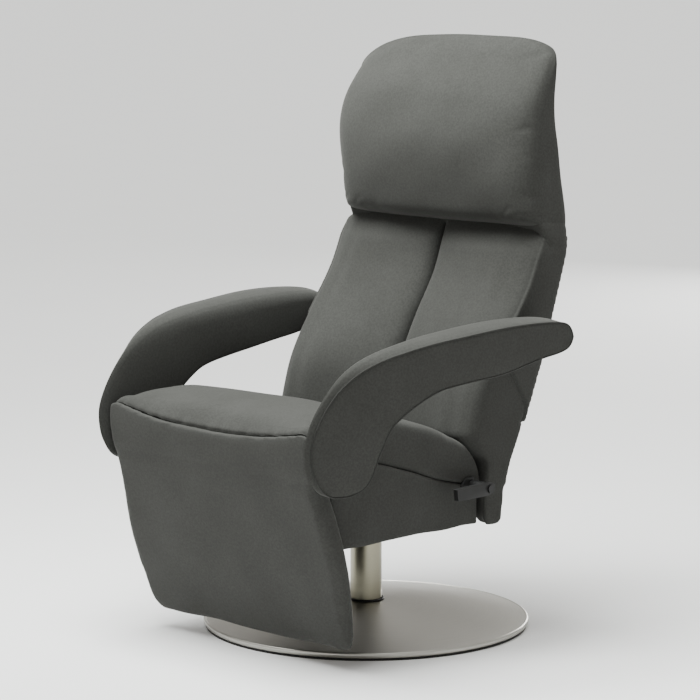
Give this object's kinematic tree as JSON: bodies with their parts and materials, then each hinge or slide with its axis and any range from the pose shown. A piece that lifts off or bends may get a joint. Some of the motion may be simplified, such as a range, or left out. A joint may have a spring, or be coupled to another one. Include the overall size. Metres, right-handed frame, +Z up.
{
  "type": "swivel recliner",
  "caption": "Upholstered swivel recliner on a round steel disc base, with curved arms, tilting headrest and a fold-out footrest panel.",
  "frame": {"origin": "on the floor, on the axis of the column", "axes": "+Z up, the sitter faces -Y, +X is on the sitter's left, the side of the release lever"},
  "size_m": [0.746, 0.7385, 1.1125],
  "materials": {
    "upholstery": "matte woven wool",
    "foam": "matte",
    "webbing": "matte",
    "brushed_steel": "brushed",
    "bright_steel": "turned",
    "frame_steel": "satin powder coat",
    "rubber": "matte",
    "black_plastic": "fine grain",
    "bearing_plastic": "smooth",
    "wood": "raw plywood"
  },
  "bodies": {
    "base": {"base_cover": "brushed_steel", "ballast_disc": "frame_steel", "floor_pad": "rubber", "column_flange": "frame_steel", "flange_screws": "frame_steel", "column_tube": "brushed_steel", "column_gasket": "rubber", "column_cap": "black_plastic", "swivel_spindle": "bright_steel", "thrust_washer": "bearing_plastic", "spindle_retainer": "frame_steel"},
    "seat": {"swivel_hub": "frame_steel", "hub_plate": "frame_steel", "hub_plate_screws": "bright_steel", "seat_rail_left": "frame_steel", "seat_rail_right": "frame_steel", "cross_tube_front": "frame_steel", "cross_tube_rear": "frame_steel", "seat_webbing": "webbing", "seat_foam": "foam", "front_board": "wood", "seat_underside": "webbing", "seat_cushion": "upholstery", "side_panel_left": "upholstery", "side_panel_right": "upholstery", "arm_left": "upholstery", "arm_right": "upholstery", "arm_bracket_left": "frame_steel", "arm_bracket_right": "frame_steel", "arm_screws": "bright_steel", "footrest_lug_left": "frame_steel", "footrest_lug_right": "frame_steel", "footrest_pins": "bright_steel", "recline_pins": "bright_steel", "lever_bracket": "black_plastic"},
    "back": {"back_board": "wood", "back_channel_left": "upholstery", "back_channel_right": "upholstery", "back_rear_cover": "upholstery", "back_wing_left": "upholstery", "back_wing_right": "upholstery", "back_bracket_left": "frame_steel", "back_bracket_right": "frame_steel", "headrest_lugs": "frame_steel", "headrest_pin": "bright_steel"},
    "headrest": {"headrest_pad": "upholstery", "headrest_board": "upholstery", "headrest_leaf": "frame_steel"},
    "footrest": {"footrest_pad": "upholstery", "footrest_board": "wood", "footrest_arm_left": "frame_steel", "footrest_arm_right": "frame_steel"},
    "lever": {"lever_shaft": "bright_steel", "lever_grip": "black_plastic", "lever_cap": "black_plastic"}
  },
  "joints": [
    {"name": "swivel", "type": "hinge", "parent": "base", "child": "seat", "pos_m": [0, 0, 0.25], "axis": [0, 0, 1], "continuous": true},
    {"name": "recline", "type": "hinge", "parent": "seat", "child": "back", "pos_m": [0, 0.075, 0.262], "axis": [-1, 0, 0], "range_deg": [0, 34]},
    {"name": "headrest_tilt", "type": "hinge", "parent": "back", "child": "headrest", "pos_m": [0, 0.261, 0.751], "axis": [-1, 0, 0], "range_deg": [-8, 32]},
    {"name": "footrest_lift", "type": "hinge", "parent": "seat", "child": "footrest", "pos_m": [0, -0.386, 0.402], "axis": [-1, 0, 0], "range_deg": [0, 85]},
    {"name": "release_lever", "type": "hinge", "parent": "seat", "child": "lever", "pos_m": [0.29, 0.026, 0.297], "axis": [-1, 0, 0], "range_deg": [0, 25], "stiffness_Nm_per_rad": 1.1}
  ],
  "couplings": [
    {"joint": "footrest_lift", "follows": "recline", "ratio": 2.5}
  ]
}
